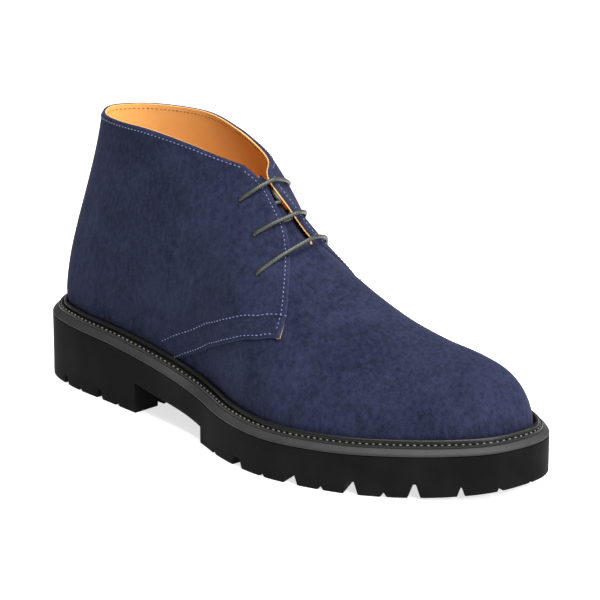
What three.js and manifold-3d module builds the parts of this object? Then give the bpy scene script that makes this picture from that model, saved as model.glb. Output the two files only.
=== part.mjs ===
// Chukka boot, right foot: a three-hole derby chukka in suede on a lugged rubber sole.
// Millimetres, +X towards the toe, +Y towards the inner (medial) side, +Z up, floor at z = 0.
// The tables measure x from the back of the heel; the finished group is shifted so that the
// origin is the middle of the sole on the floor.
import * as THREE from 'three';
import { mergeVertices } from 'three/addons/utils/BufferGeometryUtils.js';
import Module from 'manifold-3d';

const wasm = await Module();
wasm.setup();

// ---------------------------------------------------------------- driving dimensions
const LENGTH = 300; // outsole, heel back to toe tip
const CENTRE_Y = -7.5; // middle of the outsole's width
const GAP = 0.3; // clearance between pieces that touch
const SIDE_STEPS = 36; // columns along each side of the sole

const HEEL_BREAST = 85.7; // front face of the heel
const ARCH = { back: 16, front: 8.5, end: 139 }; // underside of the arch: heights and front end
const SPRING = { start: 238, rise: 5.4 }; // toe spring of the tread
const LUG = { depth: 5.5, reach: 16.5, gap: 4.8, heelGap: 2.6 }; // edge lugs and the gaps between them
const CHANNEL = { outer: 15.5, inner: 19.5 }; // groove between edge lugs and middle lugs

const BAND = { rim: 0.6, bevel: 3.1, height: 3.4 }; // bevelled midsole band
const WELT = { outer: 3.4, top: 5.4, groove: 4.9, bead: 7.2 }; // heights over the outsole's edge
const FEATHER = 4.2; // bottom edge of the upper over the outsole's edge
const INSOLE = { bottom: 3.8, top: 6.8, clear: 3.6 }; // heights, and margin inside the feather line

const VAMP_WALL = 2.2; // thickness of the lined vamp, inwards from the last surface
const QUARTER = { proud: 1.3, under: 1.2, tuck: 0.5 }; // quarters lie over the vamp
const TONGUE = { outer: 3.3, inner: 5.4 }; // depths under the last surface
const EYELET_RADIUS = 1.9;
const LACE_RADIUS = 1.15;
const LACE_SIDES = 8;

// Outline of the outsole in plan, from the heel's back to the toe tip on each side.
const OUTLINE = {
  lateral: [
    { x: 0, y: -1 }, { x: 3, y: -20.5 }, { x: 14, y: -36 }, { x: 35, y: -43.5 },
    { x: 65, y: -46.5 }, { x: 100, y: -49.5 }, { x: 125, y: -52 }, { x: 140, y: -56 },
    { x: 154, y: -61.3 }, { x: 168, y: -65 }, { x: 182, y: -67 }, { x: 196, y: -66.8 },
    { x: 212, y: -63.8 }, { x: 232, y: -57.5 }, { x: 254, y: -46.2 }, { x: 277, y: -31.2 },
    { x: 292.5, y: -16 }, { x: 299, y: 0 }, { x: LENGTH, y: 12 },
  ],
  medial: [
    { x: 0, y: -1 }, { x: 3, y: 18 }, { x: 14, y: 30 }, { x: 35, y: 35.5 },
    { x: 65, y: 34.5 }, { x: 110, y: 28 }, { x: 135, y: 34 }, { x: 170, y: 44 },
    { x: 200, y: 50.5 }, { x: 230, y: 52 }, { x: 256, y: 47 }, { x: 272, y: 40.5 },
    { x: 286.5, y: 31.5 }, { x: 296.5, y: 21.5 }, { x: LENGTH, y: 12 },
  ],
};

// Height of the outsole's upper edge along the shoe.
const SOLE_TOP = [
  { x: 0, z: 33.4 }, { x: 25, z: 33.3 }, { x: 60, z: 32.1 }, { x: 85, z: 30 },
  { x: 105, z: 27.5 }, { x: 125, z: 24 }, { x: 145, z: 21.6 }, { x: 170, z: 19.8 },
  { x: 195, z: 19.2 }, { x: 230, z: 19.8 }, { x: 255, z: 20.9 }, { x: 277, z: 22.4 },
  { x: LENGTH, z: 24.2 },
];

// The last, as ribs that rise from the feather line to the collar or to the instep ridge.
// edge: fraction of the side's edge from heel to toe; inset: feather line inside the outline;
// x, mid, half, z: top of the rib (mid = centre line, half = half width there);
// low*, high*: the rib's lower and upper handles: forwards, outwards and upwards.
const RIBS = [
  { edge: 0.0, inset: 8.0, x: 24, mid: 0, half: 0, z: 140.6, lowF: -3, lowO: 0, lowU: 30, highF: -4, highO: 0, highU: -36 },
  { edge: 0.09, inset: 9.0, x: 32, mid: 0, half: 13, z: 140.6, lowF: -1, lowO: 2, lowU: 30, highF: -3, highO: 4, highU: -36 },
  { edge: 0.19, inset: 9.5, x: 48, mid: 1, half: 19.8, z: 140.8, lowF: -1, lowO: 3, lowU: 30, highF: -2, highO: 5, highU: -36 },
  { edge: 0.3, inset: 10, x: 72, mid: 1.5, half: 21.8, z: 141, lowF: 0, lowO: 4, lowU: 32, highF: 0, highO: 5, highU: -36 },
  { edge: 0.4, inset: 10, x: 95, mid: 1, half: 18.5, z: 138, lowF: -2, lowO: 4, lowU: 32, highF: 5, highO: 9, highU: -34 },
  { edge: 0.47, inset: 9.5, x: 113, mid: 0.5, half: 14.3, z: 134, lowF: -5, lowO: 3, lowU: 32, highF: 8, highO: 13, highU: -30 },
  { edge: 0.525, inset: 9.2, x: 128, mid: -1, half: 8.5, z: 130.5, lowF: -8, lowO: 1, lowU: 33, highF: 8, highO: 16, highU: -24 },
  { edge: 0.57, inset: 8.8, x: 138, mid: -3.5, half: 0, z: 125.5, lowF: -12, lowO: -1, lowU: 34, highF: 2, highO: 17, highU: -14 },
  { edge: 0.61, inset: 8.4, x: 152, mid: -4.5, half: 0, z: 113.8, lowF: -14, lowO: -4, lowU: 34, highF: -4, highO: 16, highU: -6 },
  { edge: 0.65, inset: 8.0, x: 166, mid: -3.5, half: 0, z: 99, lowF: -10, lowO: -3, lowU: 28, highF: -4, highO: 20, highU: -4 },
  { edge: 0.7, inset: 8.0, x: 181, mid: -1, half: 0, z: 85.6, lowF: -5, lowO: -2, lowU: 24, highF: 0, highO: 23, highU: -2 },
  { edge: 0.76, inset: 8.0, x: 202, mid: 1, half: 0, z: 72.2, lowF: -2, lowO: -1, lowU: 20, highF: 0, highO: 24, highU: 0 },
  { edge: 0.83, inset: 8.0, x: 226, mid: 4.5, half: 0, z: 63.5, lowF: 0, lowO: 0, lowU: 17, highF: 2, highO: 23, highU: 0 },
  { edge: 0.91, inset: 8.0, x: 249, mid: 8, half: 0, z: 59.5, lowF: 0, lowO: 0, lowU: 15, highF: 8, highO: 18, highU: 0 },
  { edge: 1.0, inset: 8.0, x: 264, mid: 10, half: 0, z: 58, lowF: 0, lowO: 0, lowU: 18, highF: 16, highO: 0, highU: 0 },
];
const ODD = ['edge', 'half', 'lowO', 'highO']; // columns that change sign across the middle plane

// Edges on the last surface: s runs from the heel (0) to the toe (1), t from feather to top.
const FLAP = [ // front edge of the quarter, from its lower corner up to the collar
  { s: 0.617, t: 0.383 }, { s: 0.636, t: 0.51 }, { s: 0.639, t: 0.62 }, { s: 0.634, t: 0.72 },
  { s: 0.619, t: 0.81 }, { s: 0.59, t: 0.875 }, { s: 0.54, t: 0.912 }, { s: 0.487, t: 0.943 },
  { s: 0.44, t: 1 },
];
const SEAM = [ // lower edge of the quarter, from the welt forward to the flap's corner
  { s: 0.257, t: 0 }, { s: 0.291, t: 0.108 }, { s: 0.348, t: 0.221 }, { s: 0.434, t: 0.292 },
  { s: 0.546, t: 0.325 }, { s: 0.617, t: 0.383 },
];
const VAMP_BACK = [ // hidden rear edge of the vamp under the quarter, up to the throat
  { s: 0.235, t: 0.08 }, { s: 0.3, t: 0.25 }, { s: 0.4, t: 0.36 }, { s: 0.5, t: 0.46 },
  { s: 0.575, t: 0.6 }, { s: 0.622, t: 0.76 }, { s: 0.648, t: 0.9 }, { s: 0.655, t: 1 },
];
// Eyelets, where the lace bar from each crosses the flap's edge, and how far it bows out between.
const EYELETS = [
  { s: 0.429, t: 0.829, edgeS: 0.5, edgeT: 0.932, bow: 2 },
  { s: 0.503, t: 0.684, edgeS: 0.584, edgeT: 0.895, bow: 3 },
  { s: 0.535, t: 0.551, edgeS: 0.625, edgeT: 0.8, bow: 5 },
];
const SIDES = { lateral: -1, medial: 1 };

// ---------------------------------------------------------------- small helpers
const lerp = (a, b, k) => a + (b - a) * k;
const smooth = (k) => { const c = Math.min(Math.max(k, 0), 1); return c * c * (3 - 2 * c); };
const steps = (n) => Array.from({ length: n + 1 }, (_, i) => i / n);

function catmull(p0, p1, p2, p3, k) {
  return 0.5 * (2 * p1 + (p2 - p0) * k + (2 * p0 - 5 * p1 + 4 * p2 - p3) * k * k
    + (3 * p1 - p0 - 3 * p2 + p3) * k * k * k);
}

// Point at u (0..1) along an open run of {s, t} rows.
function along(rows, u) {
  const f = Math.min(Math.max(u, 0), 1) * (rows.length - 1);
  const i = Math.min(Math.floor(f), rows.length - 2);
  const at = (k) => rows[Math.min(Math.max(k, 0), rows.length - 1)];
  const mix = (c) => catmull(at(i - 1)[c], at(i)[c], at(i + 1)[c], at(i + 2)[c], f - i);
  return { s: mix('s'), t: mix('t') };
}

// ---------------------------------------------------------------- the sole's edge
// Piecewise cubic through SOLE_TOP that never overshoots between its rows.
function soleTop(x) {
  const p = SOLE_TOP;
  const c = Math.min(Math.max(x, 0), LENGTH);
  let i = 0;
  while (i < p.length - 2 && c > p[i + 1].x) i += 1;
  const rise = (k) => (p[k + 1].z - p[k].z) / (p[k + 1].x - p[k].x);
  const slope = (k) => {
    if (k === 0 || k === p.length - 1) return rise(Math.min(k, p.length - 2));
    const a = rise(k - 1);
    const b = rise(k);
    return a * b <= 0 ? 0 : (2 * a * b) / (a + b);
  };
  const h = p[i + 1].x - p[i].x;
  const k = (c - p[i].x) / h;
  return p[i].z * (1 + 2 * k) * (1 - k) ** 2 + slope(i) * h * k * (1 - k) ** 2
    + p[i + 1].z * k * k * (3 - 2 * k) + slope(i + 1) * h * k * k * (k - 1);
}

const closedOutline = new THREE.CatmullRomCurve3(
  [...OUTLINE.lateral, ...OUTLINE.medial.slice(1, -1).reverse()].map((p) => new THREE.Vector3(p.x, p.y, 0)),
  true, 'centripetal',
);
const OUTLINE_ROWS = OUTLINE.lateral.length + OUTLINE.medial.length - 2;
const TOE_PARAMETER = (OUTLINE.lateral.length - 1) / OUTLINE_ROWS;
const FINE = 300;
const sideEdges = Object.fromEntries(Object.keys(SIDES).map((side) => {
  const end = side === 'lateral' ? TOE_PARAMETER : TOE_PARAMETER - 1;
  const run = steps(FINE).map((k) => {
    const u = (k * end + 1) % 1;
    const p = closedOutline.getPoint(u);
    const d = closedOutline.getTangent(u);
    return { x: p.x, y: p.y, nx: d.y, ny: -d.x, length: 0 };
  });
  for (let i = 1; i < run.length; i += 1) {
    run[i].length = run[i - 1].length + Math.hypot(run[i].x - run[i - 1].x, run[i].y - run[i - 1].y);
  }
  return [side, run];
}));

// Point on the sole's edge: fraction of the side from heel to toe, moved inwards by inset.
function edge(side, fraction, inset) {
  const run = sideEdges[side];
  const want = Math.min(Math.max(fraction, 0), 1) * run[FINE].length;
  let lo = 0;
  let hi = FINE;
  while (hi - lo > 1) {
    const m = (lo + hi) >> 1;
    if (run[m].length <= want) lo = m; else hi = m;
  }
  const k = (want - run[lo].length) / (run[hi].length - run[lo].length);
  const nx = lerp(run[lo].nx, run[hi].nx, k);
  const ny = lerp(run[lo].ny, run[hi].ny, k);
  const size = Math.hypot(nx, ny);
  return {
    x: lerp(run[lo].x, run[hi].x, k) - (nx / size) * inset,
    y: lerp(run[lo].y, run[hi].y, k) - (ny / size) * inset,
    nx: nx / size,
    ny: ny / size,
  };
}

// ---------------------------------------------------------------- the last surface
function ribRow(s) {
  const n = RIBS.length;
  const f = Math.min(Math.max(s, 0), 1) * (n - 1);
  const i = Math.min(Math.floor(f), n - 2);
  const row = {};
  for (const c of Object.keys(RIBS[0])) {
    const sign = ODD.includes(c) ? -1 : 1;
    const past = sign * RIBS[n - 2][c] + (c === 'edge' ? 2 : 0);
    const p0 = i === 0 ? sign * RIBS[1][c] : RIBS[i - 1][c];
    const p3 = i === n - 2 ? past : RIBS[i + 2][c];
    row[c] = catmull(p0, RIBS[i][c], RIBS[i + 1][c], p3, f - i);
  }
  return row;
}

function last(side, s, t) {
  const r = ribRow(s);
  const out = SIDES[side];
  const foot = edge(side, r.edge, r.inset);
  const a = new THREE.Vector3(foot.x, foot.y, soleTop(foot.x) + FEATHER);
  const d = new THREE.Vector3(r.x, r.mid + out * r.half, r.z);
  const b = a.clone().add(new THREE.Vector3(r.lowF, out * r.lowO, r.lowU));
  const slim = side === 'medial' ? 1 - 0.42 * Math.exp(-(((s - 0.755) / 0.165) ** 2)) : 1; // flatter inner side
  const c = d.clone().add(new THREE.Vector3(r.highF, out * r.highO * slim, r.highU));
  return new THREE.CubicBezierCurve3(a, b, c, d).getPoint(t);
}

function lastNormal(side, s, t) {
  const h = 0.004;
  const ds = last(side, Math.min(s + h, 1), t).sub(last(side, Math.max(s - h, 0), t));
  const dt = last(side, s, Math.min(t + h, 1)).sub(last(side, s, Math.max(t - h, 0)));
  return ds.cross(dt).normalize().multiplyScalar(-SIDES[side]);
}

// ---------------------------------------------------------------- meshes and solids
function geometryOf(points, triangles) {
  const g = new THREE.BufferGeometry();
  g.setAttribute('position', new THREE.Float32BufferAttribute(points.flatMap((p) => [p.x, p.y, p.z]), 3));
  g.setIndex(triangles.flat());
  return g;
}

function solidOf(geometry) {
  const bare = geometry.clone();
  bare.deleteAttribute('normal');
  bare.deleteAttribute('uv');
  const g = mergeVertices(bare, 1e-3);
  return new wasm.Manifold(new wasm.Mesh({
    numProp: 3,
    vertProperties: new Float32Array(g.attributes.position.array),
    triVerts: new Uint32Array(g.index.array),
  }));
}

function geometryFrom(solid) {
  const m = solid.getMesh();
  const g = new THREE.BufferGeometry();
  g.setAttribute('position', new THREE.BufferAttribute(new Float32Array(m.vertProperties), 3));
  g.setIndex(new THREE.BufferAttribute(new Uint32Array(m.triVerts), 1));
  return g;
}

// Rings of equal length joined one to the next; capped at both ends or joined in a loop.
function skin(rings, cap) {
  const n = rings[0].length;
  const points = rings.flat();
  const triangles = [];
  const joined = cap ? rings.length - 1 : rings.length;
  for (let r = 0; r < joined; r += 1) {
    for (let i = 0; i < n; i += 1) {
      const j = (i + 1) % n;
      const q = ((r + 1) % rings.length) * n;
      triangles.push([r * n + i, r * n + j, q + j], [r * n + i, q + j, q + i]);
    }
  }
  if (cap) {
    const top = (rings.length - 1) * n;
    cap(n).forEach(([a, b, c]) => triangles.push([a, c, b], [top + a, top + b, top + c]));
  }
  return geometryOf(points, triangles);
}

// One closed loop of edge columns: along the medial side to the toe and back along the lateral.
const COLUMNS = [
  ...steps(SIDE_STEPS).map((k) => ({ side: 'lateral', k })),
  ...steps(SIDE_STEPS).slice(1, -1).reverse().map((k) => ({ side: 'medial', k })),
];
const spread = (k) => 0.5 * k + 0.25 * (1 - Math.cos(Math.PI * k)); // closer at heel and toe

function edgeRing(inset, height) {
  return COLUMNS.map(({ side, k }) => {
    const f = spread(k);
    const p = edge(side, f, inset(f));
    return new THREE.Vector3(p.x, p.y, height(p.x, f));
  });
}

// Strips across the sole between columns that face each other.
function acrossCap(n) {
  const half = n / 2;
  const tri = [[0, 1, n - 1]];
  for (let i = 1; i < half - 1; i += 1) {
    tri.push([i, i + 1, n - i], [i + 1, n - i - 1, n - i]);
  }
  tri.push([half - 1, half, half + 1]);
  return tri;
}

const upperInset = (f) => {
  const i = RIBS.findIndex((r) => r.edge >= f);
  const b = RIBS[Math.max(i, 1)];
  const a = RIBS[Math.max(i, 1) - 1];
  return lerp(a.inset, b.inset, (f - a.edge) / (b.edge - a.edge));
};
const over = (h) => (x) => soleTop(x) + h;
const stack = (layers) => skin(
  layers.map((l) => edgeRing(typeof l.inset === 'function' ? l.inset : () => l.inset, l.z)),
  acrossCap,
);

// A sheet of points with triangles made into a solid between two depths along its normals.
function thicken(sheet, outer, inner) {
  const flat = geometryOf(sheet.points, sheet.triangles);
  flat.setAttribute('depth', new THREE.Float32BufferAttribute(sheet.points.flatMap((p) => [outer(p), inner(p)]), 2));
  const g = mergeVertices(flat, 1e-3);
  g.computeVertexNormals();
  const index = Array.from(g.index.array);
  const count = g.attributes.position.count;
  const point = (i, d) => new THREE.Vector3().fromBufferAttribute(g.attributes.normal, i).multiplyScalar(d)
    .add(new THREE.Vector3().fromBufferAttribute(g.attributes.position, i));
  const depth = g.attributes.depth;
  const points = [
    ...Array.from({ length: count }, (_, i) => point(i, depth.getX(i))),
    ...Array.from({ length: count }, (_, i) => point(i, -depth.getY(i))),
  ];
  const triangles = [];
  const rims = new Map();
  for (let k = 0; k < index.length; k += 3) {
    const [a, b, c] = index.slice(k, k + 3);
    if (a !== b && b !== c && c !== a) {
      triangles.push([a, b, c], [a + count, c + count, b + count]);
      [[a, b], [b, c], [c, a]].forEach(([p, q]) => {
        if (!rims.delete(`${q}_${p}`)) rims.set(`${p}_${q}`, [p, q]);
      });
    }
  }
  rims.forEach(([p, q]) => triangles.push([q, p, p + count], [q, p + count, q + count]));
  return geometryOf(points, triangles);
}

// Grid of points over (u, v) with the face normals pointing out of the shoe.
function grid(nu, nv, at, flip) {
  const points = [];
  steps(nu).forEach((u) => steps(nv).forEach((v) => points.push(at(u, v))));
  const triangles = [];
  for (let i = 0; i < nu; i += 1) {
    for (let j = 0; j < nv; j += 1) {
      const a = i * (nv + 1) + j;
      const b = a + nv + 1;
      const quad = [[a, b, b + 1], [a, b + 1, a + 1]];
      quad.forEach(([p, q, r]) => triangles.push(flip ? [p, r, q] : [p, q, r]));
    }
  }
  return { points, triangles };
}

function joinSheets(sheets) {
  const points = [];
  const triangles = [];
  sheets.forEach((s) => {
    const base = points.length;
    points.push(...s.points);
    triangles.push(...s.triangles.map((t) => t.map((i) => i + base)));
  });
  return { points, triangles };
}

// ---------------------------------------------------------------- sole pieces
function block(x0, x1, y0, y1, z0, z1) {
  const g = new THREE.BoxGeometry(x1 - x0, y1 - y0, z1 - z0);
  g.translate((x0 + x1) / 2, (y0 + y1) / 2, (z0 + z1) / 2);
  return solidOf(g);
}

// A profile in x and z carried right across the shoe.
function acrossShoe(profile) {
  const shape = new THREE.Shape(profile.map(([x, z]) => new THREE.Vector2(x, z)));
  const g = new THREE.ExtrudeGeometry(shape, { depth: 200, bevelEnabled: false });
  g.rotateX(Math.PI / 2);
  g.translate(0, 100, 0);
  return solidOf(g);
}

const spring = (x) => SPRING.rise * (Math.max(x - SPRING.start, 0) / (LENGTH - SPRING.start)) ** 2;

// Gaps between edge lugs: fractions of the side's edge.
const FOREPART_GAPS = [0.553, 0.647, 0.733, 0.817, 0.878, 0.93, 0.978];
const HEEL_GAPS = [0.153, 0.231];

function lugGap(side, f, width, depth) {
  const p = edge(side, f, (LUG.reach - 4) / 2);
  const g = new THREE.BoxGeometry(LUG.reach + 4, width, 2 * depth);
  g.rotateZ(Math.atan2(p.ny, p.nx));
  g.translate(p.x, p.y, spring(p.x));
  return solidOf(g);
}

function outsole() {
  let body = solidOf(stack([{ inset: 0, z: () => 0 }, { inset: 0, z: soleTop }]));
  body = body.subtract(acrossShoe([
    [HEEL_BREAST, -5], [HEEL_BREAST, ARCH.back], [ARCH.end, ARCH.front], [ARCH.end, -5],
  ]));
  const toe = steps(8).map((k) => lerp(SPRING.start, LENGTH + 4, k)).map((x) => [x, spring(x)]);
  body = body.subtract(acrossShoe([[LENGTH + 4, -5], [SPRING.start, -5], ...toe]));

  // groove between the edge lugs and the middle lugs, then the lugs' gaps
  const ring = (inset) => solidOf(stack([{ inset, z: () => -5 }, { inset, z: (x) => spring(x) + LUG.depth - 1 }]));
  const channel = ring(CHANNEL.outer).subtract(ring(CHANNEL.inner));
  const away = block(HEEL_BREAST - 12, ARCH.end + 12, -100, 100, -10, 40);
  body = body.subtract(channel.subtract(away));
  for (const side of Object.keys(SIDES)) {
    FOREPART_GAPS.forEach((f) => { body = body.subtract(lugGap(side, f, LUG.gap, LUG.depth)); });
    HEEL_GAPS.forEach((f) => { body = body.subtract(lugGap(side, f, LUG.heelGap, LUG.depth)); });
  }
  for (const x of [162, 184, 206, 228, 250]) {
    body = body.subtract(block(x - 2, x + 2, -36, 30, -5, spring(x) + LUG.depth - 1.5));
  }
  return geometryFrom(body);
}

function midsole() {
  return stack([
    { inset: 0, z: over(GAP) },
    { inset: 0, z: over(BAND.rim) },
    { inset: BAND.bevel, z: over(BAND.height) },
  ]);
}

// Flat channel for the stitches, a groove, then the rounded bead against the upper.
function welt() {
  const bottom = BAND.height + GAP;
  const section = [
    { in: () => WELT.outer, h: bottom }, { in: () => WELT.outer, h: WELT.top },
    { in: (u) => u - 3.6, h: WELT.top }, { in: (u) => u - 3.3, h: WELT.groove },
    { in: (u) => u - 2.9, h: WELT.bead - 0.9 }, { in: (u) => u - 2.2, h: WELT.bead },
    { in: (u) => u - 1.5, h: WELT.bead - 0.8 }, { in: (u) => u - 1.4, h: bottom },
  ];
  return skin(section.map((p) => edgeRing((f) => p.in(upperInset(f)), over(p.h))), null);
}

function insole() {
  const inset = (f) => upperInset(f) + INSOLE.clear;
  return stack([{ inset, z: over(INSOLE.bottom) }, { inset, z: over(INSOLE.top) }]);
}

// ---------------------------------------------------------------- upper
// Quarter: a four-sided patch on the last between heel line, lower edge, flap edge and collar.
const QUARTER_WELT = SEAM[0].s;
const SEAM_SHARE = 0.55; // part of the lower edge that is the seam and not the welt
function quarterAt(side, u, v) {
  const low = (k) => (k < 1 - SEAM_SHARE
    ? { s: (k / (1 - SEAM_SHARE)) * QUARTER_WELT, t: 0 }
    : along(SEAM, (k - 1 + SEAM_SHARE) / SEAM_SHARE));
  const collarEnd = FLAP[FLAP.length - 1].s;
  const front = along(FLAP, v);
  const corner = FLAP[0];
  const bottom = low(u);
  const s = lerp(bottom.s, u * collarEnd, v) + u * (front.s - lerp(corner.s, collarEnd, v));
  const t = lerp(bottom.t, 1, v) + u * (front.t - lerp(corner.t, 1, v));
  return last(side, s, t);
}

// Vamp: ribs between the feather line and its hidden rear edge, the throat and the ridge.
const THROAT = VAMP_BACK[VAMP_BACK.length - 1].s;
const BACK_SHARE = 0.5; // part of the ribs that end at the rear edge
function vampAt(side, u, v) {
  const start = VAMP_BACK[0].s;
  const top = u < BACK_SHARE ? along(VAMP_BACK, u / BACK_SHARE)
    : { s: lerp(THROAT, 1, (u - BACK_SHARE) / (1 - BACK_SHARE)), t: 1 };
  const foot = lerp(start, 1, u);
  return last(side, lerp(foot, top.s, v), lerp(0, top.t, v));
}

function upper() {
  const bySide = (nu, nv, at) => joinSheets(Object.keys(SIDES).map(
    (side) => grid(nu, nv, (u, v) => at(side, u, v), side === 'medial'),
  ));
  const heightOver = (p) => p.z - soleTop(p.x) - FEATHER;
  const proud = (p) => lerp(QUARTER.tuck, QUARTER.proud, smooth(heightOver(p) / 9));
  const quarters = solidOf(thicken(bySide(18, 9, quarterAt), proud, () => QUARTER.under));
  const vamp = solidOf(thicken(bySide(22, 8, vampAt), () => 0, () => VAMP_WALL));
  let body = quarters.add(vamp);
  for (const side of Object.keys(SIDES)) {
    for (const e of EYELETS) {
      const p = last(side, e.s, e.t);
      const n = lastNormal(side, e.s, e.t);
      const g = new THREE.CylinderGeometry(EYELET_RADIUS, EYELET_RADIUS, 9, 10);
      g.applyQuaternion(new THREE.Quaternion().setFromUnitVectors(new THREE.Vector3(0, 1, 0), n));
      g.translate(p.x, p.y, p.z);
      body = body.subtract(solidOf(g));
    }
  }
  return geometryFrom(body);
}

// ---------------------------------------------------------------- tongue
// Follows the last under the flaps, rounded over the instep, and ends above the collar's front.
const TONGUE_SPAN = [ // rib, lower edge on it, rise past the surface, backwards shift
  { s: 0.71, t: 0.8, up: 0, back: 0 }, { s: 0.66, t: 0.76, up: 0, back: 0 },
  { s: 0.61, t: 0.72, up: 0, back: 0 }, { s: 0.56, t: 0.74, up: 0, back: 0 },
  { s: 0.5, t: 0.8, up: 0, back: 1 }, { s: 0.5, t: 0.86, up: 8, back: 8 },
];
const TONGUE_ROUND = 0.28; // how far the fold over the instep is rounded
function tongueAt(u, v) {
  const f = u * (TONGUE_SPAN.length - 1);
  const i = Math.min(Math.floor(f), TONGUE_SPAN.length - 2);
  const mix = (c) => lerp(TONGUE_SPAN[i][c], TONGUE_SPAN[i + 1][c], f - i);
  const across = 2 * v - 1;
  const away = (Math.hypot(across, TONGUE_ROUND) - TONGUE_ROUND) / (Math.hypot(1, TONGUE_ROUND) - TONGUE_ROUND);
  const t = 1 - (1 - mix('t')) * lerp(0.16, 1, away);
  const toMedial = 0.5 + 0.5 * Math.tanh(across / TONGUE_ROUND) / Math.tanh(1 / TONGUE_ROUND);
  const p = last('lateral', mix('s'), t).lerp(last('medial', mix('s'), t), toMedial);
  return p.add(new THREE.Vector3(-mix('back'), 0, mix('up')));
}

function tongue() {
  return thicken(grid(10, 10, tongueAt, true), () => -TONGUE.outer, () => TONGUE.inner);
}

// ---------------------------------------------------------------- lace
// A bar over the throat between two facing eyelets.
function laceBar(eyelet) {
  const lift = QUARTER.proud + LACE_RADIUS + 2.5 * GAP;
  const above = (side, at, t) => last(side, at, t).addScaledVector(lastNormal(side, at, t), lift);
  const half = (side) => [
    above(side, eyelet.s, eyelet.t),
    above(side, lerp(eyelet.s, eyelet.edgeS, 0.5), lerp(eyelet.t, eyelet.edgeT, 0.5)),
    above(side, eyelet.edgeS, eyelet.edgeT),
  ];
  const near = half('lateral');
  const far = half('medial').reverse();
  const out = near[2].clone().add(far[0]).sub(near[0]).sub(far[2]).setY(0).normalize();
  const middle = near[2].clone().add(far[0]).multiplyScalar(0.5).addScaledVector(out, eyelet.bow);
  const path = new THREE.CatmullRomCurve3([...near, middle, ...far], false, 'centripetal');
  const round = new THREE.Shape(steps(LACE_SIDES).slice(1).map((k) => new THREE.Vector2(
    LACE_RADIUS * Math.cos(2 * Math.PI * k),
    LACE_RADIUS * Math.sin(2 * Math.PI * k),
  )));
  return new THREE.ExtrudeGeometry(round, { steps: 14, extrudePath: path });
}

// ---------------------------------------------------------------- materials and assembly
const material = (color, roughness) => new THREE.MeshStandardMaterial({ color, roughness, metalness: 0 });
const suede = material(0x2d3050, 0.95);
const rubber = material(0x1f1f20, 0.75);
const dullRubber = material(0x5a5c60, 0.7);
const leather = material(0xc98b4a, 0.6);
const laceCotton = material(0x3a3d3a, 0.7);

const boot = new THREE.Group();
function place(name, geometry, mat) {
  const mesh = new THREE.Mesh(geometry, mat);
  mesh.name = name;
  boot.add(mesh);
}
place('outsole', outsole(), rubber);
place('midsole', midsole(), dullRubber);
place('welt', welt(), rubber);
place('insole', insole(), leather);
place('upper', upper(), suede);
place('tongue', tongue(), suede);
EYELETS.forEach((e, i) => place(`lace_bar_${i + 1}`, laceBar(e), laceCotton));
boot.position.set(-LENGTH / 2, -CENTRE_Y, 0);

export default boot;
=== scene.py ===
import math
import bpy
import numpy as np
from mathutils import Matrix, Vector, kdtree


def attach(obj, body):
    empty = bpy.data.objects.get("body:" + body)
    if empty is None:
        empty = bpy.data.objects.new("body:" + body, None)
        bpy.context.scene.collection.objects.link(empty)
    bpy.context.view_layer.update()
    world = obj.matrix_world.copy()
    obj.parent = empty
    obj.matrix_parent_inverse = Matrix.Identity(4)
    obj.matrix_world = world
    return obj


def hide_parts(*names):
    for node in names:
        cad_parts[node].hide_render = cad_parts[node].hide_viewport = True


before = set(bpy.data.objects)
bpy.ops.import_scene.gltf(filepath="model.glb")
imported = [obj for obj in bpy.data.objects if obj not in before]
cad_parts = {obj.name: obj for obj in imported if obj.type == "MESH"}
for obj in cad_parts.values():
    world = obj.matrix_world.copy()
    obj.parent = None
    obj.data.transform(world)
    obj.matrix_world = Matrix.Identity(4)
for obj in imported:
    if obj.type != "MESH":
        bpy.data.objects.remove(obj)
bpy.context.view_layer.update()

# -------------------- outsole
# One block of matt black rubber, moulded in one with its heel, edge lugs and middle lugs.
# Tables are in millimetres: x from the back of the heel, y to the inner side, z from the floor.
# The outline is the sole's edge in plan; every other piece of the shoe is set in from it.
LENGTH = 300.0
MIDDLE = (150.0, -7.5, 0.0)  # where the shoe's own origin lies in the tables
LATERAL_EDGE = [
    (0, -1), (3, -20.5), (14, -36), (35, -43.5), (65, -46.5), (100, -49.5), (125, -52), (140, -56),
    (154, -61.3), (168, -65), (182, -67), (196, -66.8), (212, -63.8), (232, -57.5), (254, -46.2),
    (277, -31.2), (292.5, -16), (299, 0), (300, 12),
]
MEDIAL_EDGE = [
    (0, -1), (3, 18), (14, 30), (35, 35.5), (65, 34.5), (110, 28), (135, 34), (170, 44),
    (200, 50.5), (230, 52), (256, 47), (272, 40.5), (286.5, 31.5), (296.5, 21.5), (300, 12),
]
SOLE_TOP = [
    (0, 33.4), (25, 33.3), (60, 32.1), (85, 30), (105, 27.5), (125, 24), (145, 21.6), (170, 19.8),
    (195, 19.2), (230, 19.8), (255, 20.9), (277, 22.4), (300, 24.2),
]
HEEL_BREAST = 85.7
ARCH_BACK, ARCH_FRONT, ARCH_END = 16.0, 8.5, 139.0
SPRING_START, SPRING_RISE = 238.0, 5.4
LUG_REACH = 15.5
CHANNEL_END = 19.5
CHANNEL_DEPTH, CHANNEL_SLOPE = 4.5, 0.3
LUG_GAPS = [  # place along the edge (heel 0, toe 1), depth, width at the top, width at the tread
    (0.153, 4.6, 2.0, 4.0), (0.231, 5.0, 2.4, 4.4), (0.553, 5.0, 4.2, 7.4), (0.647, 5.6, 4.0, 7.6),
    (0.733, 6.6, 3.0, 7.2), (0.817, 6.8, 1.8, 6.2), (0.878, 4.6, 0.5, 3.6), (0.93, 2.9, 0.5, 2.8),
    (0.978, 1.5, 0.4, 1.8),
]
NICKS = [0.188, 0.269, 0.497, 0.601, 0.691, 0.777]
NICK_DEPTH, NICK_WIDTH, NICK_TOP = 2.3, 3.0, 0.1
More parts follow.
